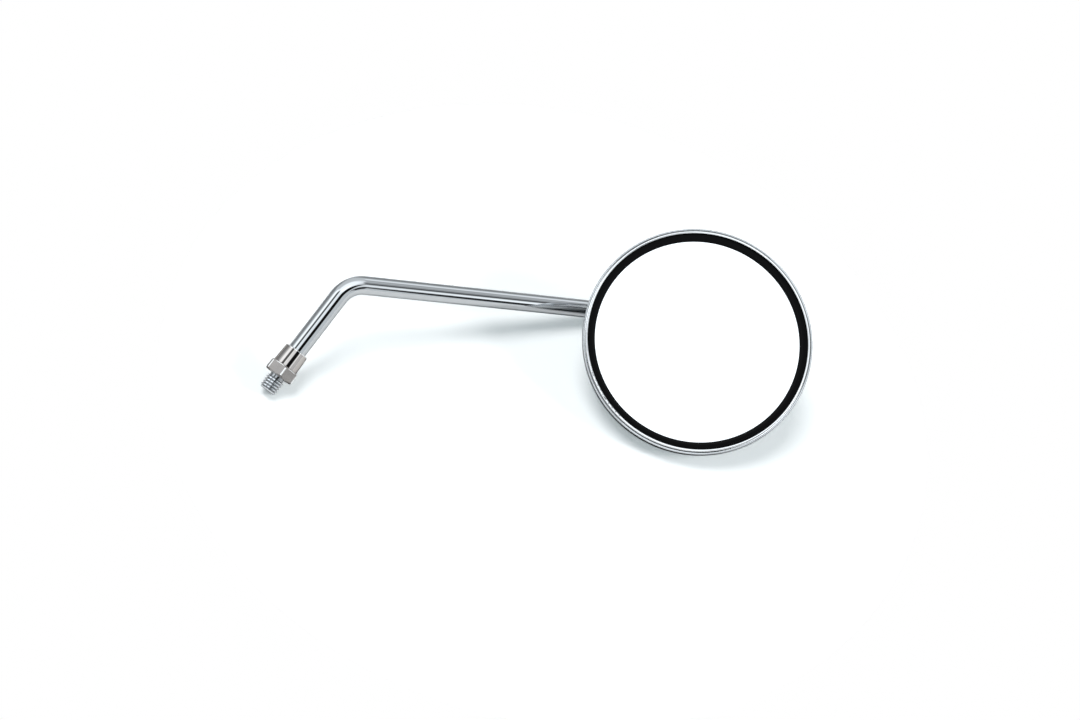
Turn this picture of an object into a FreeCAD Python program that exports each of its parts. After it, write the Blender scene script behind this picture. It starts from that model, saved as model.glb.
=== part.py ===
"""Motorcycle mirror: a round head on a bent rod stem, with a ball joint in the back of the head.

Millimetres, +Z up. The stud end of the stem stands on the Z axis, and the origin is on that axis in the plane
where the lock nut seats. The glass looks along -Y, tipped a little upwards.
"""
import FreeCAD, Part
import math
import os

Vector = FreeCAD.Vector

# Stem: a round rod with two bends
rod_diameter = 8.0
stud_height = 48.7            # lock nut seat to the first bend's corner
long_leg_length = 137.5       # first bend's corner to the second
end_leg_length = 22.2         # second bend's corner to the ball's centre
long_leg_rise = 32.0          # degrees above level
long_leg_heading = 29.5       # degrees from +X towards +Y
bend_radius = 12.8            # at the rod's centre line

# Stud thread, M8, drawn as a plain cylinder at its crests
thread_diameter = 7.9
thread_length = 7.5           # below the lock nut's seat
thread_run_up = 12.0          # above the seat, inside the nut
thread_chamfer = 0.8
relief_diameter = 6.6
relief_height = 1.0

# Lock nut
nut_across_flats = 12.0
nut_hex_height = 5.1
nut_collar_height = 8.1
nut_collar_base_diameter = 11.1
nut_collar_top_diameter = 10.5
nut_chamfer_angle = 30.0      # degrees, of the hex's corners
nut_chamfer_reach = 0.35      # chamfer's inner edge inside the flats
nut_turn = -13.0              # degrees, of the hex about the stud
nut_collar_chamfer = 0.35
nut_countersink = 0.7
nut_thread_clearance = 0.05
nut_rod_clearance = 0.08
nut_counterbore_depth = 4.0

# Ball joint
ball_diameter = 12.0
neck_diameter = 6.0           # the stem between its shoulder and the ball
neck_length = 9.5             # ball's centre to the stem's shoulder
neck_chamfer = 0.8
spigot_diameter = 5.0
spigot_depth = 0.8            # past the ball's centre
ball_flat_distance = 5.0      # ball's centre to the flat where the neck seats
joint_clearance = 0.1         # radial, each spherical fit
seat_thickness = 1.2
seat_edge_angle = 86.0        # degrees from the neck's axis
mouth_angle = 52.0            # half angle of the opening round the stem
socket_wall = 1.5
cup_rim_setback = 2.6         # ball's centre to the cup's rim
cup_floor = 1.0
spring_thickness = 0.5
spring_rise = 0.45
spring_hole_diameter = 6.0
plug_thickness = 1.9
plug_slot_width = 1.4
plug_slot_depth = 0.9
assembly_gap = 0.02           # between pieces that are fixed to each other

# Head: a bowl with a conical neck towards the stem
head_diameter = 100.0
bowl_depth = 22.0
bowl_wall = 0.9
bowl_land = 2.2               # straight stretch behind the bowl's edge
bowl_edge_setback = 0.8       # the bowl's edge behind the rim ring's crest
bowl_edge_round = 0.42
bowl_corner_radius = 11.0
neck_angle = 40.0             # between the neck's axis and the head's axis
neck_crossing_depth = 3.4     # where the neck's axis meets the head's axis
ball_distance = 26.3          # from that crossing to the ball's centre
neck_taper = 14.0             # degrees, half angle of the neck's cone
neck_root = 15.0              # how far the neck's cone runs in past the ball's centre
neck_lip = 0.9                # metal in front of the socket
neck_lip_overlap = 0.4        # lip's hole inside the socket's mouth, so that the socket seats on the lip
neck_blend_radius = 2.0
neck_tip_round = 0.5          # inside, where the lip turns in
glass_rise = 3.3              # degrees that the glass looks upwards
neck_roll = -6.9              # degrees, turn of the neck's side about the head's axis

# Rim ring, seal, glass and pad
rim_nose_width = 1.0          # across the ring's rounded front
rim_seam_width = 0.25         # groove between the ring's front and the bowl's edge
rim_seam_depth = 1.8
rim_lip = 0.45                # ring's lip over the seal
rim_lip_height = 1.25
rim_depth = 3.0
glass_edge_margin = 1.43      # rim ring's lip to the glass's edge, filled by the seal
glass_thickness = 2.0
glass_edge_depth = 2.3        # front edge of the glass behind the rim's crest
glass_curve_radius = 1200.0
seal_lip_cover = 1.9          # lip over the glass
seal_lip_height = 1.2
seal_groove_width = 0.9       # between the lip and the rim ring
seal_depth = 6.0              # back of the seal behind the rim's crest
pad_clearance = 0.5           # pad's edge inside the seal's back lip
pad_thickness = 1.0

# Values worked out from the sizes above
rod_radius = rod_diameter / 2
ball_radius = ball_diameter / 2
seat_inner = ball_radius + joint_clearance
seat_outer = seat_inner + seat_thickness
socket_inner = seat_outer + joint_clearance
socket_outer = socket_inner + socket_wall
mouth_end = socket_outer * math.cos(math.radians(mouth_angle))
cup_back = -(seat_inner + cup_floor)
spring_back = cup_back - spring_rise - spring_thickness - 2 * assembly_gap
plug_back = spring_back - plug_thickness
head_radius = head_diameter / 2
bowl_mouth_radius = head_radius - bowl_wall
rim_outer = bowl_mouth_radius - assembly_gap
rim_lip_radius = rim_outer - rim_seam_width - rim_nose_width
rim_inner = rim_lip_radius + rim_lip
glass_radius = rim_lip_radius - glass_edge_margin
seal_lip_radius = glass_radius - seal_lip_cover
pad_radius = seal_lip_radius - pad_clearance
corner_start = -(bowl_edge_setback + bowl_land)
corner_radius_point = head_radius - bowl_corner_radius


def direction(heading, rise):
    """Unit vector at a heading from +X towards +Y and a rise above level, in degrees."""
    level = math.cos(math.radians(rise))
    return Vector(
        level * math.cos(math.radians(heading)),
        level * math.sin(math.radians(heading)),
        math.sin(math.radians(rise)),
    )


def point(radius, height):
    return Vector(radius, 0, height)


def line(start, end):
    return Part.LineSegment(start, end).toShape()


def arc_about(centre, radius, start_angle, end_angle):
    """Arc in the XZ plane, angles in degrees from +X towards +Z."""
    def at(angle):
        turn = math.radians(angle)
        return centre + Vector(radius * math.cos(turn), 0, radius * math.sin(turn))
    middle = (start_angle + end_angle) / 2
    return Part.Arc(at(start_angle), at(middle), at(end_angle)).toShape()


def turned(edges):
    """Solid of revolution about Z from a closed outline of edges in the XZ plane."""
    face = Part.Face(Part.Wire(Part.__sortEdges__(edges)))
    return face.revolve(Vector(0, 0, 0), Vector(0, 0, 1), 360)


def turned_points(corners):
    """Solid of revolution about Z from a closed outline of straight edges, given as (radius, height)."""
    outline = [point(*corner) for corner in corners]
    pairs = zip(outline, outline[1:] + outline[:1])
    return turned([line(start, end) for start, end in pairs])


def flat_ring(inner, outer, low, high):
    """Ring or disc between two radii and two heights."""
    return turned_points([(inner, low), (outer, low), (outer, high), (inner, high)])


# Centre line of the stem, and the places of the head and of its neck
up = Vector(0, 0, 1)
long_way = direction(long_leg_heading, long_leg_rise)
glass_normal = direction(-90.0, glass_rise)
level_side = Vector(-1, 0, 0)
roll = math.radians(neck_roll)
arm_side = level_side * math.cos(roll) + glass_normal.cross(level_side) * math.sin(roll)
neck_turn = math.radians(neck_angle)
end_way = glass_normal * math.cos(neck_turn) - arm_side * math.sin(neck_turn)
first_corner = up * stud_height
second_corner = first_corner + long_way * long_leg_length
ball_centre = second_corner + end_way * end_leg_length
head_centre = ball_centre + end_way * ball_distance + glass_normal * neck_crossing_depth

head_place = FreeCAD.Placement(
    head_centre,
    FreeCAD.Rotation(arm_side, glass_normal.cross(arm_side), glass_normal, "ZXY"),
)
neck_place = head_place.multiply(FreeCAD.Placement(
    Vector(
        ball_distance * math.sin(neck_turn),
        0,
        -neck_crossing_depth - ball_distance * math.cos(neck_turn),
    ),
    FreeCAD.Rotation(Vector(0, 1, 0), 180.0 - neck_angle),
))
neck_in_head = head_place.inverse().multiply(neck_place)


def placed(shape, place):
    moved = shape.copy()
    moved.Placement = place.multiply(moved.Placement)
    return moved


def rod(start, end):
    way = end - start
    return Part.makeCylinder(rod_radius, way.Length, start, way)


def bend(corner, way_in, way_out):
    """Part of a ring that turns the rod at a corner, with the length that it takes from each leg."""
    turn = way_in.getAngle(way_out)
    setback = bend_radius * math.tan(turn / 2)
    start = corner - way_in * setback
    axis = way_in.cross(way_out).normalize()
    centre = start + axis.cross(way_in) * bend_radius
    section = Part.Face(Part.Wire(Part.makeCircle(rod_radius, start, way_in)))
    return section.revolve(centre, axis, math.degrees(turn)), setback


def make_stem():
    first_bend, first_setback = bend(first_corner, up, long_way)
    second_bend, second_setback = bend(second_corner, long_way, end_way)
    thread = thread_diameter / 2
    relief = relief_diameter / 2
    stud = turned_points([
        (0, -thread_length),
        (thread - thread_chamfer, -thread_length),
        (thread, thread_chamfer - thread_length),
        (thread, 0),
        (relief, 0),
        (relief, relief_height),
        (thread, relief_height),
        (thread, thread_run_up),
        (rod_radius, thread_run_up),
        (rod_radius, stud_height - first_setback),
        (0, stud_height - first_setback),
    ])
    long_leg = rod(
        first_corner + long_way * first_setback,
        second_corner - long_way * second_setback,
    )
    neck = neck_diameter / 2
    spigot = spigot_diameter / 2 - assembly_gap
    bend_end = end_leg_length - second_setback
    end_leg = turned_points([
        (0, bend_end),
        (rod_radius, bend_end),
        (rod_radius, neck_length),
        (neck, neck_length - neck_chamfer),
        (neck, ball_flat_distance + assembly_gap),
        (spigot, ball_flat_distance + assembly_gap),
        (spigot, -spigot_depth),
        (0, -spigot_depth),
    ])
    return stud.multiFuse([first_bend, long_leg, second_bend, placed(end_leg, neck_place)]).removeSplitter()


def make_stem_ball():
    ball = Part.makeSphere(ball_radius)
    flat = flat_ring(0, ball_diameter, ball_flat_distance, ball_diameter)
    bore = flat_ring(0, spigot_diameter / 2, -spigot_depth - assembly_gap, ball_diameter)
    return placed(ball.cut(flat).cut(bore), neck_place)


def make_lock_nut():
    corner_radius = nut_across_flats / 2 / math.cos(math.radians(30))
    corners = [direction(60 * k + nut_turn, 0) * corner_radius for k in range(7)]
    hexagon = Part.Face(Part.makePolygon(corners)).extrude(up * nut_hex_height)
    chamfer_width = corner_radius - nut_across_flats / 2 + nut_chamfer_reach
    chamfer_height = chamfer_width * math.tan(math.radians(nut_chamfer_angle))
    envelope = turned_points([
        (0, 0),
        (corner_radius - chamfer_width, 0),
        (corner_radius, chamfer_height),
        (corner_radius, nut_hex_height - chamfer_height),
        (corner_radius - chamfer_width, nut_hex_height),
        (0, nut_hex_height),
    ])
    nut_height = nut_hex_height + nut_collar_height
    collar = turned_points([
        (0, nut_hex_height),
        (nut_collar_base_diameter / 2, nut_hex_height),
        (nut_collar_top_diameter / 2, nut_height - nut_collar_chamfer),
        (nut_collar_top_diameter / 2 - nut_collar_chamfer, nut_height),
        (0, nut_height),
    ])
    bore = thread_diameter / 2 + nut_thread_clearance
    counterbore = rod_radius + nut_rod_clearance
    hole = turned_points([
        (0, 0),
        (bore + nut_countersink, 0),
        (bore, nut_countersink),
        (bore, nut_height - nut_counterbore_depth),
        (counterbore, nut_height - nut_counterbore_depth),
        (counterbore, nut_height),
        (0, nut_height),
    ])
    return hexagon.common(envelope).fuse(collar).cut(hole).removeSplitter()


def spherical_zone(inner, outer, near_angle, far_angle):
    """Ring between two spheres about the ball's centre, between two angles from the neck's axis."""
    def at(radius, angle):
        turn = math.radians(angle)
        return point(radius * math.sin(turn), radius * math.cos(turn))
    centre = Vector(0, 0, 0)
    return turned([
        arc_about(centre, inner, 90 - near_angle, 90 - far_angle),
        line(at(inner, far_angle), at(outer, far_angle)),
        arc_about(centre, outer, 90 - far_angle, 90 - near_angle),
        line(at(outer, near_angle), at(inner, near_angle)),
    ])


def make_ball_seat():
    return placed(spherical_zone(seat_inner, seat_outer, mouth_angle, seat_edge_angle), neck_place)


def make_ball_socket():
    nose = spherical_zone(socket_inner, socket_outer, mouth_angle, 90.0)
    sleeve = flat_ring(socket_inner, socket_outer, plug_back, 0)
    return placed(nose.fuse(sleeve).removeSplitter(), neck_place)


def make_pressure_cup():
    body = flat_ring(0, seat_outer, cup_back, -cup_rim_setback)
    return placed(body.cut(Part.makeSphere(seat_inner)), neck_place)


def make_disc_spring():
    hole = spring_hole_diameter / 2
    top = cup_back - assembly_gap
    washer = turned_points([
        (hole, top),
        (seat_outer, top - spring_rise),
        (seat_outer, top - spring_rise - spring_thickness),
        (hole, top - spring_thickness),
    ])
    return placed(washer, neck_place)


def make_retaining_plug():
    radius = socket_inner - assembly_gap
    plug = flat_ring(0, radius, plug_back, spring_back)
    slot = Part.makeBox(
        2 * socket_inner,
        plug_slot_width,
        plug_slot_depth,
        Vector(-socket_inner, -plug_slot_width / 2, plug_back),
    )
    return placed(plug.cut(slot), neck_place)


def bowl_solid(inset):
    """Solid bowl whose surface lies the given distance inside the shell's outer surface."""
    corner = bowl_corner_radius - inset
    pole = -bowl_depth + inset
    # The dish is the sphere that touches both the pole and the rounded corner
    drop = corner_start - pole
    dish = (corner_radius_point ** 2 + drop ** 2 - corner ** 2) / (2 * (drop - corner))
    dish_centre = pole + dish
    slope = math.degrees(math.atan2(corner_start - dish_centre, corner_radius_point))
    side = head_radius - inset
    edge = -bowl_edge_setback
    return turned([
        line(point(0, edge), point(side, edge)),
        line(point(side, edge), point(side, corner_start)),
        arc_about(point(corner_radius_point, corner_start), corner, 0, slope),
        arc_about(point(0, dish_centre), dish, slope, -90),
        line(point(0, pole), point(0, edge)),
    ])


def neck_cone(inset, end):
    """Cone of the bowl's neck about the neck's axis, from inside the bowl to its rounded tip."""
    taper = math.tan(math.radians(neck_taper))
    tip = socket_outer + bowl_wall - inset + taper * (mouth_end - end)
    base = tip + taper * (end + neck_root)
    tip_round = neck_tip_round + bowl_wall - inset
    setback = tip_round * math.tan(math.radians((90 - neck_taper) / 2))
    round_centre = point(tip - setback, end - tip_round)
    side_end = round_centre + direction(0, neck_taper) * tip_round
    cone = turned([
        line(point(0, -neck_root), point(base, -neck_root)),
        line(point(base, -neck_root), side_end),
        arc_about(round_centre, tip_round, neck_taper, 90),
        line(point(tip - setback, end), point(0, end)),
        line(point(0, end), point(0, -neck_root)),
    ])
    return placed(cone, neck_in_head)


def edges_between(shape, first_kind, second_kinds):
    """Edges of a shape where a face of the first kind of surface meets one of the second kinds."""
    first = [edge for face in shape.Faces if isinstance(face.Surface, first_kind) for edge in face.Edges]
    second = [edge for face in shape.Faces if isinstance(face.Surface, second_kinds) for edge in face.Edges]
    return [edge for edge in first if any(edge.isSame(other) for other in second)]


def bowl_with_neck(inset, end):
    """Bowl and neck as one solid."""
    return bowl_solid(inset).fuse(neck_cone(inset, end)).removeSplitter()


def make_back_shell():
    socket_stop = mouth_end + assembly_gap
    lip_end = socket_stop + neck_lip
    outer = bowl_with_neck(0, lip_end)
    seam = edges_between(outer, Part.Cone, (Part.Sphere, Part.Toroid))
    outer = outer.makeFillet(neck_blend_radius, seam)
    cavity = bowl_with_neck(bowl_wall, socket_stop)
    mouth_radius = mouth_end * math.tan(math.radians(mouth_angle)) - neck_lip_overlap
    mouth = placed(flat_ring(0, mouth_radius, 0, 2 * lip_end), neck_in_head)
    shell = outer.cut(cavity).cut(mouth)
    edge = [e for e in shell.Edges if e.BoundBox.ZMin > -bowl_edge_setback - assembly_gap]
    return placed(shell.makeFillet(bowl_edge_round, edge), head_place)


def make_rim_ring():
    nose = rim_nose_width / 2
    nose_outer = rim_outer - rim_seam_width
    nose_centre = point(nose_outer - nose, -nose)
    ring = turned([
        arc_about(nose_centre, nose, 0, 180),
        line(point(rim_lip_radius, -nose), point(rim_lip_radius, -rim_lip_height)),
        line(point(rim_lip_radius, -rim_lip_height), point(rim_inner, -rim_lip_height)),
        line(point(rim_inner, -rim_lip_height), point(rim_inner, -rim_depth)),
        line(point(rim_inner, -rim_depth), point(rim_outer, -rim_depth)),
        line(point(rim_outer, -rim_depth), point(rim_outer, -rim_seam_depth)),
        line(point(rim_outer, -rim_seam_depth), point(nose_outer, -rim_seam_depth)),
        line(point(nose_outer, -rim_seam_depth), point(nose_outer, -nose)),
    ])
    return placed(ring, head_place)


def bowl_inner_radius(depth):
    """Radius of the bowl's inside at a depth below the rim's crest, on its rounded corner."""
    corner = bowl_corner_radius - bowl_wall
    return corner_radius_point + math.sqrt(corner ** 2 - (depth + corner_start) ** 2)


def glass_front(radius):
    """Height of the domed glass's front face at a radius."""
    edge = math.sqrt(glass_curve_radius ** 2 - glass_radius ** 2)
    return math.sqrt(glass_curve_radius ** 2 - radius ** 2) - edge - glass_edge_depth


def make_glass_seal():
    channel = glass_radius + assembly_gap
    front = glass_front(seal_lip_radius) + assembly_gap
    crest = front + seal_lip_height
    glass_back = -glass_edge_depth - glass_thickness - assembly_gap
    shoulder = rim_inner - assembly_gap
    groove_floor = -rim_lip_height - assembly_gap
    groove_inner = rim_lip_radius - seal_groove_width
    back_radius = bowl_inner_radius(seal_depth) - assembly_gap
    behind_rim = -rim_depth - assembly_gap
    outline = [
        line(point(seal_lip_radius, front), point(channel, front)),
        line(point(channel, front), point(channel, glass_back)),
        line(point(channel, glass_back), point(seal_lip_radius, glass_back)),
        line(point(seal_lip_radius, glass_back), point(seal_lip_radius, -seal_depth)),
        line(point(seal_lip_radius, -seal_depth), point(back_radius, -seal_depth)),
        line(point(back_radius, -seal_depth), point(back_radius, behind_rim)),
        line(point(back_radius, behind_rim), point(shoulder, behind_rim)),
        line(point(shoulder, behind_rim), point(shoulder, groove_floor)),
        line(point(shoulder, groove_floor), point(groove_inner, groove_floor)),
        line(point(groove_inner, groove_floor), point(groove_inner, crest)),
        line(point(groove_inner, crest), point(seal_lip_radius + seal_lip_height, crest)),
        arc_about(point(seal_lip_radius + seal_lip_height, front), seal_lip_height, 90, 180),
    ]
    return placed(turned(outline), head_place)


def lens(radius, setback, thickness):
    """Domed disc behind the glass's front face by a setback, with both faces about one centre."""
    centre = glass_front(0) - glass_curve_radius
    front = glass_curve_radius - setback
    back = front - thickness
    front_angle = math.degrees(math.acos(radius / front))
    back_angle = math.degrees(math.acos(radius / back))
    middle = point(0, centre)
    front_edge = point(radius, centre + front * math.sin(math.radians(front_angle)))
    back_edge = point(radius, centre + back * math.sin(math.radians(back_angle)))
    return turned([
        arc_about(middle, front, front_angle, 90),
        line(point(0, centre + front), point(0, centre + back)),
        arc_about(middle, back, 90, back_angle),
        line(back_edge, front_edge),
    ])


def make_mirror_glass():
    return placed(lens(glass_radius, 0, glass_thickness), head_place)


def make_backing_pad():
    return placed(lens(pad_radius, glass_thickness + assembly_gap, pad_thickness), head_place)


makers = {
    "stem": make_stem,
    "stem_ball": make_stem_ball,
    "lock_nut": make_lock_nut,
    "back_shell": make_back_shell,
    "ball_socket": make_ball_socket,
    "ball_seat": make_ball_seat,
    "pressure_cup": make_pressure_cup,
    "disc_spring": make_disc_spring,
    "retaining_plug": make_retaining_plug,
    "rim_ring": make_rim_ring,
    "glass_seal": make_glass_seal,
    "mirror_glass": make_mirror_glass,
    "backing_pad": make_backing_pad,
}

os.makedirs("parts", exist_ok=True)
for name, make in makers.items():
    shape = make()
    shape.exportStep("parts/" + name + ".step")
    print(name, "volume", round(shape.Volume, 1), "solids", len(shape.Solids), "valid", shape.isValid())
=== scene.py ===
"""Looks of the motorcycle mirror, lying on a white table as in the photograph. Metres, in the part's frame."""

import math

import bpy
from mathutils import Matrix, Vector


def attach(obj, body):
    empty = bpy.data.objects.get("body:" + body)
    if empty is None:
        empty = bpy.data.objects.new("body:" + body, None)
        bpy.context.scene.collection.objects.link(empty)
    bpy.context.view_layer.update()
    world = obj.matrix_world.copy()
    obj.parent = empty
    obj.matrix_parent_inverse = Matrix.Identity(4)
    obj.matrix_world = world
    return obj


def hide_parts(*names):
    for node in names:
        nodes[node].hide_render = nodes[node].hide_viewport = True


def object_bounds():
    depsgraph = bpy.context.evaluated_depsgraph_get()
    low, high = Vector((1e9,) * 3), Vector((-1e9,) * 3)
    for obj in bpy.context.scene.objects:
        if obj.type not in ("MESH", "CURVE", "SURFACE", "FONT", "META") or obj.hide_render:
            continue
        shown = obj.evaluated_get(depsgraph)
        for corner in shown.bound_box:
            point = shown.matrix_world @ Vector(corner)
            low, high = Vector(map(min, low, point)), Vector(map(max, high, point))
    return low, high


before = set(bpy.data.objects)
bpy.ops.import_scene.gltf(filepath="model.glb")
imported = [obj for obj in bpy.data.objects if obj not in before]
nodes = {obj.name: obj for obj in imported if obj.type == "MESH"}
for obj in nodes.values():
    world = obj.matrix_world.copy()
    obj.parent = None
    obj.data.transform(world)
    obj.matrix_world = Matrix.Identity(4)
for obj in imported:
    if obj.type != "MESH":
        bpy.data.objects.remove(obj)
cad_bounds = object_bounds()
scene = bpy.context.scene

# Sizes shared with the part's source
ROD_RADIUS = 0.004
STUD_HEIGHT = 0.0487
LONG_LEG = 0.1375
END_LEG = 0.0222
BEND_RADIUS = 0.0128
LONG_HEADING = math.radians(29.5)
LONG_RISE = math.radians(32.0)
GLASS_RISE = math.radians(3.3)
NECK_ANGLE = math.radians(40.0)
NECK_ROLL = math.radians(-6.9)
NECK_RADIUS = 0.003
NECK_LENGTH = 0.0095
NECK_CHAMFER = 0.0008
BALL_FLAT = 0.005

# The lock nut's hexagon and collar, and where painted highlights run along its edges
NUT_HEX_HEIGHT = 0.0051
NUT_HEIGHT = 0.0132
NUT_COLLAR_RADIUS = 0.00555
NUT_FLAT_CLEARANCE = 0.00015
NUT_HIGHLIGHT_RADIUS = 0.00674
NUT_HIGHLIGHT_HEIGHT = 0.0005

# The stud's thread: half its crest and its flank are shares of a pitch
THREAD_RADIUS = 0.00395
THREAD_ROOT = 0.00322
THREAD_PITCH = 0.00125
THREAD_END = -0.0075
THREAD_TOP = 0.012
THREAD_CHAMFER = 0.0008
THREAD_HALF_CREST = 0.18
THREAD_FLANK = 0.26
THREAD_RELIEF = 0.0013
# Width over which the painted shade in the thread's roots fades out
THREAD_ROOT_SHADE = 0.0003

# The head's place on the neck's axis, its glass and its seal
NECK_CROSSING = 0.0034
BALL_DISTANCE = 0.0263
GLASS_RADIUS = 0.0464
GLASS_EDGE_DEPTH = 0.0023
GLASS_THICKNESS = 0.002
GLASS_CURVE = 1.2
SEAL_CREST_RADIUS = 0.0457

# Fineness of the meshes
SIDES = 96
BEND_STEPS = 24
THREAD_STEPS = 200
GLASS_STEPS = 16
SHARP_ANGLE = math.radians(35.0)

# The table under the mirror: it touches the stud's end, the second bend and the bowl
TABLE_NORMAL = Vector((-0.1480, -0.8584, 0.4912)).normalized()
TABLE_HEIGHT = -0.00673
TABLE_RADIUS = 0.17
TABLE_GLOW = 0.28
TABLE_GLOW_COLOUR = (0.86, 0.98, 1.0, 1.0)

# How far below the table a posed head still shows, the rays that look for it, and the open shares of them
# at which the table is clear and at which it is solid
BELOW_DEPTH = 0.04
BELOW_RAYS = 16
BELOW_CLEAR = 0.80
BELOW_SOLID = 0.97

# The camera, fitted to the photograph
CAMERA_PLACE = (0.13868, -0.66395, -0.03041)
CAMERA_LOOK = (-0.08109, 0.98549, 0.14910)
CAMERA_UP = (-0.58299, -0.16823, 0.79487)
CAMERA_LENS = 53.67
CAMERA_SENSOR = 36.0
CAMERA_CLIP = (0.01, 20.0)

# Lights: turn from the picture's right on the table and rise above it, strength, and width, angles in degrees
LIGHTS = (
    ("light_right", -15.0, 30.0, 1.60, 20.0),
    ("light_above", 150.0, 70.0, 1.88, 35.0),
)
FILL_COLOUR = (0.92, 1.00, 1.04)
FILL_LEVEL = 0.27
MIRRORED_COLOUR = (0.95, 1.0, 1.04)
WHITE = (1.0, 1.0, 1.0)

# Surroundings that polished metal mirrors: round patches on an even room, each as a direction in the picture
# (right, up, towards the viewer), the half widths in degrees where it is full and where it ends, and a
# brightness. The glass mirrors the room with the first patch only.
ROOM_LEVEL = 0.85
ROOM_PATCHES = (
    (0.100, 0.550, 0.830, 24.0, 38.0, 1.60),
    (-0.700, 0.550, -0.450, 14.0, 30.0, 0.36),
    (-0.751, 0.660, -0.019, 8.0, 13.0, 0.40),
    (-0.540, 0.615, 0.578, 10.8, 14.2, 1.70),
    (-0.270, 0.467, 0.842, 9.0, 12.0, 0.18),
    (0.205, 0.422, 0.882, 9.5, 12.5, 1.90),
    (0.077, 0.233, 0.969, 8.2, 10.8, 1.35),
    (0.462, -0.067, 0.884, 14.2, 18.8, 0.01),
    (0.250, 0.810, -0.530, 4.0, 24.0, 0.38),
    (0.500, 0.865, -0.010, 6.9, 9.1, 1.25),
    (0.630, 0.720, 0.270, 7.7, 10.3, 0.60),
    (0.715, 0.470, 0.520, 7.7, 10.3, 0.48),
    (0.745, 0.250, 0.610, 6.9, 9.1, 0.14),
    (0.745, -0.110, 0.657, 6.0, 8.0, 1.45),
    (0.757, -0.210, 0.620, 3.4, 4.6, 1.70),
    (0.665, -0.420, 0.617, 4.3, 5.7, 0.02),
    (0.660, -0.530, 0.530, 4.3, 5.7, 0.04),
    (0.650, -0.600, 0.460, 4.3, 5.7, 0.06),
)

# Colours, each a pair that a surface is mottled or graded between
CHROME = ((0.56, 0.575, 0.59), (0.62, 0.635, 0.645))
RIM_CHROME = ((0.82, 0.83, 0.84), (0.88, 0.89, 0.895))
COLLAR_NICKEL = ((0.50, 0.465, 0.445), (0.58, 0.545, 0.52))
FLAT_NICKEL = ((0.30, 0.28, 0.265), (0.38, 0.355, 0.34))
# Near-white nickel, painted along the nut's edges as highlights
NICKEL_HIGHLIGHT = (0.92, 0.91, 0.90)
NICKEL_GRAZING = (0.3, 0.28, 0.27, 1.0)
# Zinc: a dark colour that is painted shade in the roots, and the crests' own colour
ZINC = ((0.36, 0.37, 0.38), (0.70, 0.72, 0.74))
# Rubber: the lip's own colour, and a darker one that is painted shade in the groove
RUBBER = ((0.005, 0.005, 0.0055), (0.0015, 0.0015, 0.0018))
SILVER = ((0.93, 0.945, 0.95), (0.96, 0.97, 0.97))
PAPER = ((0.885, 0.895, 0.90), (0.895, 0.905, 0.91))
FOAM = ((0.05, 0.05, 0.05), (0.09, 0.09, 0.09))
SEAT_PLASTIC = ((0.74, 0.73, 0.67), (0.80, 0.79, 0.73))
CUP_PLASTIC = ((0.72, 0.71, 0.65), (0.78, 0.77, 0.71))
BALL_STEEL = ((0.58, 0.58, 0.59), (0.66, 0.66, 0.67))
SOCKET_STEEL = ((0.48, 0.48, 0.49), (0.58, 0.58, 0.58))
SPRING_STEEL = ((0.28, 0.28, 0.30), (0.36, 0.36, 0.38))
PLUG_STEEL = ((0.46, 0.46, 0.47), (0.56, 0.56, 0.56))

# A Mix node's two inputs and its output, for colours and for numbers
MIX_SOCKETS = {"RGBA": ((6, 7), 2), "FLOAT": ((2, 3), 0)}

# Directions and places worked out from those sizes
up = Vector((0, 0, 1))
level = math.cos(LONG_RISE)
long_way = Vector((level * math.cos(LONG_HEADING), level * math.sin(LONG_HEADING), math.sin(LONG_RISE)))
glass_normal = Vector((0, -math.cos(GLASS_RISE), math.sin(GLASS_RISE)))
level_side = Vector((-1, 0, 0))
arm_side = level_side * math.cos(NECK_ROLL) + glass_normal.cross(level_side) * math.sin(NECK_ROLL)
end_way = glass_normal * math.cos(NECK_ANGLE) - arm_side * math.sin(NECK_ANGLE)
first_corner = up * STUD_HEIGHT
second_corner = first_corner + long_way * LONG_LEG
ball_centre = second_corner + end_way * END_LEG
head_centre = ball_centre + end_way * BALL_DISTANCE + glass_normal * NECK_CROSSING


# Materials

def start_material(name, metallic=1.0):
    """New node material, with its tree, its main shader and the object's own coordinates."""
    material = bpy.data.materials.new(name)
    material.use_nodes = True
    tree = material.node_tree
    shader = tree.nodes["Principled BSDF"]
    shader.inputs["Metallic"].default_value = metallic
    place = tree.nodes.new("ShaderNodeTexCoord").outputs["Object"]
    return material, tree, shader, place


def noise(tree, place, scale, detail=3.0, roughness=0.5):
    """Noise around a half."""
    node = tree.nodes.new("ShaderNodeTexNoise")
    node.inputs["Scale"].default_value = scale
    node.inputs["Detail"].default_value = detail
    node.inputs["Roughness"].default_value = roughness
    tree.links.new(place, node.inputs["Vector"])
    return node.outputs["Fac"]


def stretched(tree, place, scale):
    """Coordinates scaled differently along each axis."""
    node = tree.nodes.new("ShaderNodeMapping")
    node.inputs["Scale"].default_value = scale
    tree.links.new(place, node.inputs["Vector"])
    return node.outputs["Vector"]


def ranged(tree, value, low, high, start=0.3, end=0.7):
    """A value taken from start..end to low..high."""
    node = tree.nodes.new("ShaderNodeMapRange")
    node.inputs["From Min"].default_value = start
    node.inputs["From Max"].default_value = end
    node.inputs["To Min"].default_value = low
    node.inputs["To Max"].default_value = high
    tree.links.new(value, node.inputs["Value"])
    return node.outputs["Result"]


def step(tree, value, at, half):
    """0 below a value and 1 above it, with a ramp of a half width on either side."""
    return ranged(tree, value, 0.0, 1.0, at - half, at + half)


def blend(tree, factor, first, second, kind="RGBA"):
    """Two sockets, colours or numbers mixed by a factor."""
    node = tree.nodes.new("ShaderNodeMix")
    node.data_type = kind
    inputs, output = MIX_SOCKETS[kind]
    for index, value in zip(inputs, (first, second)):
        if isinstance(value, tuple):
            node.inputs[index].default_value = (*value, 1.0)
        elif isinstance(value, float):
            node.inputs[index].default_value = value
        else:
            tree.links.new(value, node.inputs[index])
    tree.links.new(factor, node.inputs[0])
    return node.outputs[output]


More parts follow.
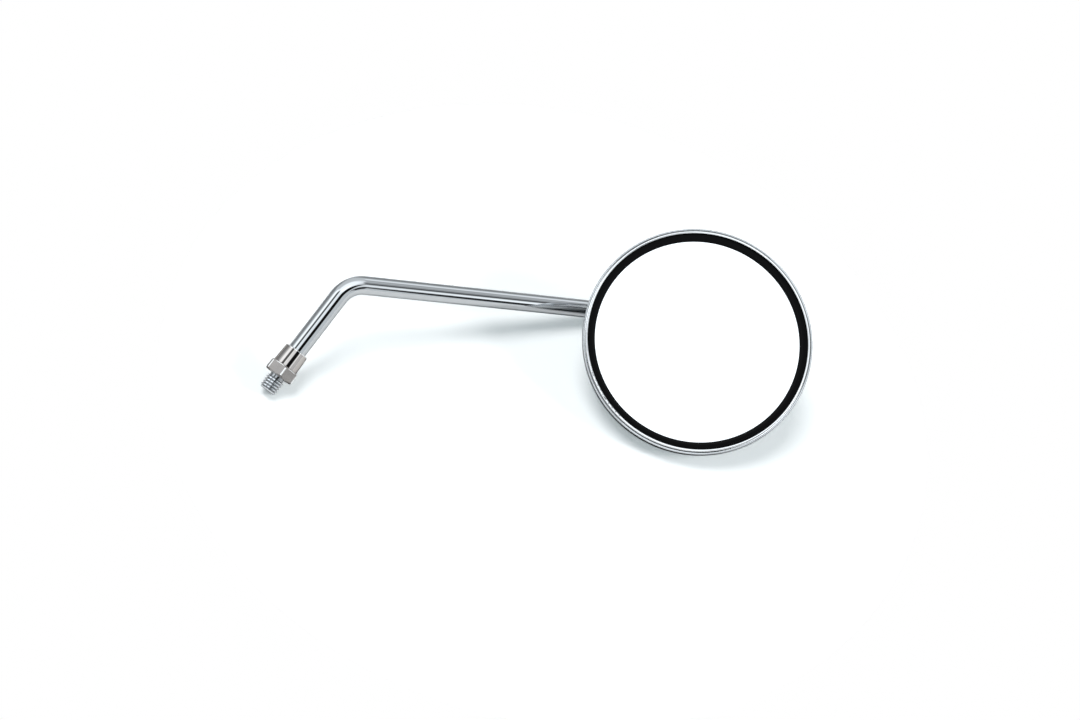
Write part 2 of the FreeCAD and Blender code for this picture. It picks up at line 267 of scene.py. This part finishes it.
def axis_distance(tree, place, centre, axis):
    """Distance of a point from an axis through a centre."""
    offset = tree.nodes.new("ShaderNodeVectorMath")
    offset.operation = "SUBTRACT"
    offset.inputs[1].default_value = centre
    tree.links.new(place, offset.inputs[0])
    cross = tree.nodes.new("ShaderNodeVectorMath")
    cross.operation = "CROSS_PRODUCT"
    cross.inputs[1].default_value = axis
    tree.links.new(offset.outputs["Vector"], cross.inputs[0])
    size = tree.nodes.new("ShaderNodeVectorMath")
    size.operation = "LENGTH"
    tree.links.new(cross.outputs["Vector"], size.inputs[0])
    return size.outputs["Value"]


def bump(tree, shader, height, strength, distance):
    """Fine relief of the surface."""
    node = tree.nodes.new("ShaderNodeBump")
    node.inputs["Strength"].default_value = strength
    node.inputs["Distance"].default_value = distance
    tree.links.new(height, node.inputs["Height"])
    tree.links.new(node.outputs["Normal"], shader.inputs["Normal"])


def chrome(name, colours, grazing):
    """Bright chrome with faint wiping marks, tinted at a grazing view."""
    material, tree, shader, place = start_material(name)
    shader.inputs["Specular Tint"].default_value = (grazing, grazing, grazing, 1.0)
    cloud = noise(tree, place, scale=60.0)
    wipe = noise(tree, place, scale=900.0, detail=2.0)
    tree.links.new(blend(tree, cloud, *colours), shader.inputs["Base Color"])
    tree.links.new(ranged(tree, wipe, 0.012, 0.035), shader.inputs["Roughness"])
    return material


def nut_metal(name):
    """Warm nickel: satin flats and a polished collar, with painted highlights along the hexagon's top edge and
    corners and round the collar's top.
    """
    material, tree, shader, place = start_material(name)
    shader.inputs["Specular Tint"].default_value = NICKEL_GRAZING
    marks = noise(tree, stretched(tree, place, (6000.0, 6000.0, 300.0)), scale=1.0, detail=4.0, roughness=0.7)
    cloud = noise(tree, place, scale=250.0)
    radius = axis_distance(tree, place, (0, 0, 0), up)
    split = tree.nodes.new("ShaderNodeSeparateXYZ")
    tree.links.new(place, split.inputs[0])
    height = split.outputs["Z"]
    flats = step(tree, radius, NUT_COLLAR_RADIUS + NUT_FLAT_CLEARANCE, 0.00005)
    # Painted highlights: near-white along the hexagon's top edge, its corners and the collar's top
    edge = step(tree, height, NUT_HEX_HEIGHT - NUT_HIGHLIGHT_HEIGHT, 0.0001)
    corner = step(tree, radius, NUT_HIGHLIGHT_RADIUS, 0.00005)
    crown = step(tree, height, NUT_HEIGHT - NUT_HIGHLIGHT_HEIGHT, 0.0001)
    collar = blend(tree, crown, blend(tree, cloud, *COLLAR_NICKEL), NICKEL_HIGHLIGHT)
    hexagon = blend(tree, edge, blend(tree, cloud, *FLAT_NICKEL), NICKEL_HIGHLIGHT)
    hexagon = blend(tree, corner, hexagon, NICKEL_HIGHLIGHT)
    tree.links.new(blend(tree, flats, collar, hexagon), shader.inputs["Base Color"])
    polished = ranged(tree, marks, 0.015, 0.045)
    satin = ranged(tree, marks, 0.16, 0.28)
    tree.links.new(blend(tree, flats, polished, satin, "FLOAT"), shader.inputs["Roughness"])
    bump(tree, shader, marks, strength=0.12, distance=0.00001)
    return material


def plain_metal(name, colours, smooth, rough):
    """Hidden steel pieces: satin, with a grain."""
    material, tree, shader, place = start_material(name)
    grain = noise(tree, place, scale=1500.0, detail=4.0)
    tree.links.new(blend(tree, grain, *colours), shader.inputs["Base Color"])
    tree.links.new(ranged(tree, grain, smooth, rough), shader.inputs["Roughness"])
    bump(tree, shader, grain, strength=0.1, distance=0.00002)
    return material


def dull(name, colours, smooth, rough, scale, depth, specular=0.5):
    """Plastic or foam: a mottled colour with a fine grain."""
    material, tree, shader, place = start_material(name, metallic=0.0)
    shader.inputs["Specular IOR Level"].default_value = specular
    grain = noise(tree, place, scale, detail=5.0, roughness=0.6)
    tree.links.new(blend(tree, grain, *colours), shader.inputs["Base Color"])
    tree.links.new(ranged(tree, grain, smooth, rough), shader.inputs["Roughness"])
    bump(tree, shader, grain, strength=0.2, distance=depth)
    return material


def thread_zinc(name):
    """Zinc, darker where the surface lies at the thread's roots: painted shade in the grooves and in the
    relief below the nut.
    """
    material, tree, shader, place = start_material(name)
    grain = noise(tree, place, scale=2500.0, detail=4.0)
    radius = axis_distance(tree, place, (0, 0, 0), up)
    # Painted shade: the zinc turns dark where the radius comes down to the roots
    clean = ranged(tree, radius, 0.0, 1.0, THREAD_ROOT, THREAD_ROOT + THREAD_ROOT_SHADE)
    tree.links.new(blend(tree, clean, *ZINC), shader.inputs["Base Color"])
    tree.links.new(ranged(tree, grain, 0.08, 0.18), shader.inputs["Roughness"])
    bump(tree, shader, grain, strength=0.15, distance=0.00002)
    return material


def seal_rubber(name):
    """Black rubber, darker outside the lip's crest: painted shade in the groove beside the chrome."""
    material, tree, shader, place = start_material(name, metallic=0.0)
    shader.inputs["Specular IOR Level"].default_value = 0.05
    grain = noise(tree, place, scale=1200.0, detail=5.0, roughness=0.6)
    radius = axis_distance(tree, place, head_centre, glass_normal)
    # Painted shade: the rubber beyond the lip's crest, towards the chrome, is made darker
    groove_shade = step(tree, radius, SEAL_CREST_RADIUS, 0.0002)
    tree.links.new(blend(tree, groove_shade, *RUBBER), shader.inputs["Base Color"])
    tree.links.new(ranged(tree, grain, 0.3, 0.45), shader.inputs["Roughness"])
    bump(tree, shader, grain, strength=0.2, distance=0.00003)
    return material


def silvered(name):
    """Silvered glass: a clean sharp mirror, its colour a little uneven."""
    material, tree, shader, place = start_material(name)
    cloud = noise(tree, place, scale=25.0, detail=2.0)
    tree.links.new(blend(tree, cloud, *SILVER), shader.inputs["Base Color"])
    shader.inputs["Roughness"].default_value = 0.0
    return material


def dress(piece, material):
    """Give a piece one material."""
    piece.data.materials.clear()
    piece.data.materials.append(material)


dress(nodes["back_shell"], chrome("shell_chrome", CHROME, grazing=0.05))
dress(nodes["rim_ring"], chrome("rim_chrome", RIM_CHROME, grazing=0.1))
dress(nodes["lock_nut"], nut_metal("nut_nickel"))
dress(nodes["glass_seal"], seal_rubber("seal_rubber"))
dress(nodes["backing_pad"], dull("pad_foam", FOAM, 0.8, 0.95, scale=2500.0, depth=0.0001, specular=0.2))
dress(nodes["ball_seat"], dull("seat_plastic", SEAT_PLASTIC, 0.4, 0.55, scale=900.0, depth=0.00002))
dress(nodes["pressure_cup"], dull("cup_plastic", CUP_PLASTIC, 0.4, 0.55, scale=900.0, depth=0.00002))
dress(nodes["stem_ball"], plain_metal("ball_steel", BALL_STEEL, 0.12, 0.2))
dress(nodes["ball_socket"], plain_metal("socket_steel", SOCKET_STEEL, 0.25, 0.4))
dress(nodes["disc_spring"], plain_metal("spring_steel", SPRING_STEEL, 0.25, 0.4))
dress(nodes["retaining_plug"], plain_metal("plug_steel", PLUG_STEEL, 0.28, 0.42))


# The stem: a smooth rod along its centre line, and the thread below it

def make_piece(name, rings, material):
    """Closed mesh piece through rings of points, each ring the same length."""
    count = len(rings[0])
    points = [p for ring in rings for p in ring]
    faces = []
    for i in range(len(rings) - 1):
        for j in range(count):
            k = (j + 1) % count
            faces.append((i * count + j, i * count + k, (i + 1) * count + k, (i + 1) * count + j))
    faces.append(tuple(reversed(range(count))))
    faces.append(tuple(range((len(rings) - 1) * count, len(rings) * count)))
    mesh = bpy.data.meshes.new(name)
    mesh.from_pydata(points, [], faces)
    mesh.validate()
    mesh.shade_smooth()
    mesh.set_sharp_from_angle(angle=SHARP_ANGLE)
    piece = bpy.data.objects.new(name, mesh)
    scene.collection.objects.link(piece)
    dress(piece, material)
    return piece


def circle(middle, first, second, radius):
    """Points round a circle, from its first direction towards its second."""
    turns = [2 * math.pi * j / SIDES for j in range(SIDES)]
    return [middle + (first * math.cos(t) + second * math.sin(t)) * radius for t in turns]


def bend_points(corner, way_in, way_out):
    """Centres and directions round a bend, from its start to its end."""
    turn = way_in.angle(way_out)
    setback = BEND_RADIUS * math.tan(turn / 2)
    axis = way_in.cross(way_out).normalized()
    start = corner - way_in * setback
    centre = start + axis.cross(way_in) * BEND_RADIUS
    out = []
    for i in range(BEND_STEPS + 1):
        spin = Matrix.Rotation(turn * i / BEND_STEPS, 3, axis)
        out.append((centre + spin @ (start - centre), spin @ way_in))
    return out


centre_line = [(up * THREAD_TOP, up, ROD_RADIUS)]
centre_line += [(p, way, ROD_RADIUS) for p, way in bend_points(first_corner, up, long_way)]
centre_line += [(p, way, ROD_RADIUS) for p, way in bend_points(second_corner, long_way, end_way)]
shoulder = ball_centre - end_way * NECK_LENGTH
centre_line += [
    (shoulder, end_way, ROD_RADIUS),
    (shoulder + end_way * NECK_CHAMFER, end_way, NECK_RADIUS),
    (ball_centre - end_way * BALL_FLAT, end_way, NECK_RADIUS),
]

rod_rings = []
across = Vector((1, 0, 0))
for centre, way, radius in centre_line:
    across = (across - way * across.dot(way)).normalized()
    rod_rings.append(circle(centre, across, way.cross(across), radius))
stem_rod = make_piece("stem_rod", rod_rings, chrome("rod_chrome", CHROME, grazing=0.5))
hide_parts("stem")
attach(stem_rod, "stem")


def thread_radius(height, turn):
    """Radius of the thread's surface, with one crest missing just below the nut."""
    phase = (height / THREAD_PITCH - turn / (2 * math.pi)) % 1.0
    ridge = max(0.0, min(1.0, (abs(phase - 0.5) - THREAD_HALF_CREST) / THREAD_FLANK))
    radius = THREAD_RADIUS - (THREAD_RADIUS - THREAD_ROOT) * ridge
    if -THREAD_RELIEF < height < 0.0:
        radius = THREAD_ROOT
    return min(radius, THREAD_RADIUS - THREAD_CHAMFER + (height - THREAD_END))


thread_rings = []
for i in range(THREAD_STEPS + 1):
    height = THREAD_END + (THREAD_TOP - THREAD_END) * i / THREAD_STEPS
    ring = []
    for j in range(SIDES):
        turn = 2 * math.pi * j / SIDES
        radius = thread_radius(height, turn)
        ring.append((radius * math.cos(turn), radius * math.sin(turn), height))
    thread_rings.append(ring)
stem_thread = make_piece("stem_thread", thread_rings, thread_zinc("zinc_thread"))
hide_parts("stem")
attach(stem_thread, "stem")


# The glass: one smooth domed plate

def glass_ring(radius, setback):
    """Ring on the glass's front face, or behind it by a setback."""
    rise = math.sqrt(GLASS_CURVE ** 2 - radius ** 2) - math.sqrt(GLASS_CURVE ** 2 - GLASS_RADIUS ** 2)
    middle = head_centre + glass_normal * (rise - GLASS_EDGE_DEPTH - setback)
    return circle(middle, level_side, glass_normal.cross(level_side), radius)


radii = [GLASS_RADIUS * i / GLASS_STEPS for i in range(1, GLASS_STEPS + 1)]
glass_rings = [glass_ring(radius, GLASS_THICKNESS) for radius in radii]
glass_rings += [glass_ring(radius, 0.0) for radius in reversed(radii)]
glass_plate = make_piece("glass_plate", glass_rings, silvered("silvered_glass"))
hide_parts("mirror_glass")
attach(glass_plate, "head")


# Camera, as in the photograph

camera_data = bpy.data.cameras.new("camera")
camera_data.sensor_width = CAMERA_SENSOR
camera_data.lens = CAMERA_LENS
camera_data.clip_start, camera_data.clip_end = CAMERA_CLIP
camera = bpy.data.objects.new("camera", camera_data)
scene.collection.objects.link(camera)
look = Vector(CAMERA_LOOK).normalized()
picture_right = look.cross(Vector(CAMERA_UP)).normalized()
picture_up = picture_right.cross(look)
picture_axes = Matrix((picture_right, picture_up, -look)).transposed().to_4x4()
camera.matrix_world = Matrix.Translation(CAMERA_PLACE) @ picture_axes
scene.camera = camera


# Table: white, with the object's shadow, and clear from behind and over a head that a pose puts below it

table_right = (picture_right - TABLE_NORMAL * picture_right.dot(TABLE_NORMAL)).normalized()
table_away = TABLE_NORMAL.cross(table_right)
middle = (Vector(cad_bounds[0]) + Vector(cad_bounds[1])) / 2
table_middle = middle - TABLE_NORMAL * (middle.dot(TABLE_NORMAL) - TABLE_HEIGHT)
table_edge = circle(table_middle, table_right, table_away, TABLE_RADIUS)
table_mesh = bpy.data.meshes.new("table")
table_mesh.from_pydata(table_edge, [], [tuple(range(SIDES))])
table = bpy.data.objects.new("table", table_mesh)
scene.collection.objects.link(table)

material, tree, shader, place = start_material("table_white", metallic=0.0)
shader.inputs["Roughness"].default_value = 0.9
shader.inputs["Specular IOR Level"].default_value = 0.1
tree.links.new(blend(tree, noise(tree, place, scale=30.0), *PAPER), shader.inputs["Base Color"])
glow = tree.nodes.new("ShaderNodeLightPath").outputs["Is Camera Ray"]
shader.inputs["Emission Color"].default_value = TABLE_GLOW_COLOUR
tree.links.new(ranged(tree, glow, 0.0, TABLE_GLOW, 0.0, 1.0), shader.inputs["Emission Strength"])
behind = tree.nodes.new("ShaderNodeNewGeometry").outputs["Backfacing"]
below = tree.nodes.new("ShaderNodeAmbientOcclusion")
below.inside = True
below.samples = BELOW_RAYS
below.inputs["Distance"].default_value = BELOW_DEPTH
see_through = tree.nodes.new("ShaderNodeMath")
see_through.operation = "MAXIMUM"
tree.links.new(behind, see_through.inputs[0])
covered = ranged(tree, below.outputs["AO"], 1.0, 0.0, BELOW_CLEAR, BELOW_SOLID)
tree.links.new(covered, see_through.inputs[1])
clear = tree.nodes.new("ShaderNodeBsdfTransparent")
mix = tree.nodes.new("ShaderNodeMixShader")
tree.links.new(see_through.outputs[0], mix.inputs["Fac"])
tree.links.new(shader.outputs["BSDF"], mix.inputs[1])
tree.links.new(clear.outputs["BSDF"], mix.inputs[2])
tree.links.new(mix.outputs["Shader"], tree.nodes["Material Output"].inputs["Surface"])
dress(table, material)


# Lights and surroundings

def add_sun(name, turn, rise, strength, width):
    """Wide light that polished metal doesn't mirror."""
    data = bpy.data.lights.new(name, "SUN")
    data.energy = strength
    data.angle = math.radians(width)
    light = bpy.data.objects.new(name, data)
    scene.collection.objects.link(light)
    turn, rise = math.radians(turn), math.radians(rise)
    flat = table_right * math.cos(turn) + table_away * math.sin(turn)
    towards = flat * math.cos(rise) + TABLE_NORMAL * math.sin(rise)
    light.rotation_mode = "QUATERNION"
    light.rotation_quaternion = towards.to_track_quat("Z", "Y")
    light.visible_glossy = False


for light in LIGHTS:
    add_sun(*light)

world = bpy.data.worlds.new("studio")
world.use_nodes = True
scene.world = world
tree = world.node_tree
way = tree.nodes.new("ShaderNodeTexCoord").outputs["Generated"]
rays = tree.nodes.new("ShaderNodeLightPath")


def patched(room, right, rise, towards, inner, outer, brightness):
    """The room's brightness with one more patch laid over it."""
    cosine = tree.nodes.new("ShaderNodeVectorMath")
    cosine.operation = "DOT_PRODUCT"
    cosine.inputs[1].default_value = (picture_right * right + picture_up * rise - look * towards).normalized()
    tree.links.new(way, cosine.inputs[0])
    edges = [math.cos(math.radians(angle)) for angle in (outer, inner)]
    inside = ranged(tree, cosine.outputs["Value"], 0.0, 1.0, *edges)
    return blend(tree, inside, room, brightness, "FLOAT")


def backdrop(colour, strength=1.0):
    """One version of the surroundings."""
    node = tree.nodes.new("ShaderNodeBackground")
    node.inputs["Color"].default_value = (*colour, 1.0)
    node.inputs["Strength"].default_value = strength
    return node


def chosen_by(ray, without, with_ray):
    """One of two surroundings, by the kind of ray."""
    node = tree.nodes.new("ShaderNodeMixShader")
    tree.links.new(rays.outputs[ray], node.inputs["Fac"])
    tree.links.new(without.outputs[0], node.inputs[1])
    tree.links.new(with_ray.outputs[0], node.inputs[2])
    return node


plain_room = patched(ROOM_LEVEL, *ROOM_PATCHES[0])
metal_room = plain_room
for patch in ROOM_PATCHES[1:]:
    metal_room = patched(metal_room, *patch)

fill = backdrop(FILL_COLOUR, FILL_LEVEL)
seen = backdrop(WHITE)
mirrored = backdrop(MIRRORED_COLOUR)
room = blend(tree, rays.outputs["Is Singular Ray"], metal_room, plain_room, "FLOAT")
tree.links.new(room, mirrored.inputs["Strength"])
shown = chosen_by("Is Camera Ray", chosen_by("Is Glossy Ray", fill, mirrored), seen)
shown = chosen_by("Is Transmission Ray", shown, seen)
tree.links.new(shown.outputs[0], tree.nodes["World Output"].inputs["Surface"])

scene.view_settings.view_transform = "Standard"
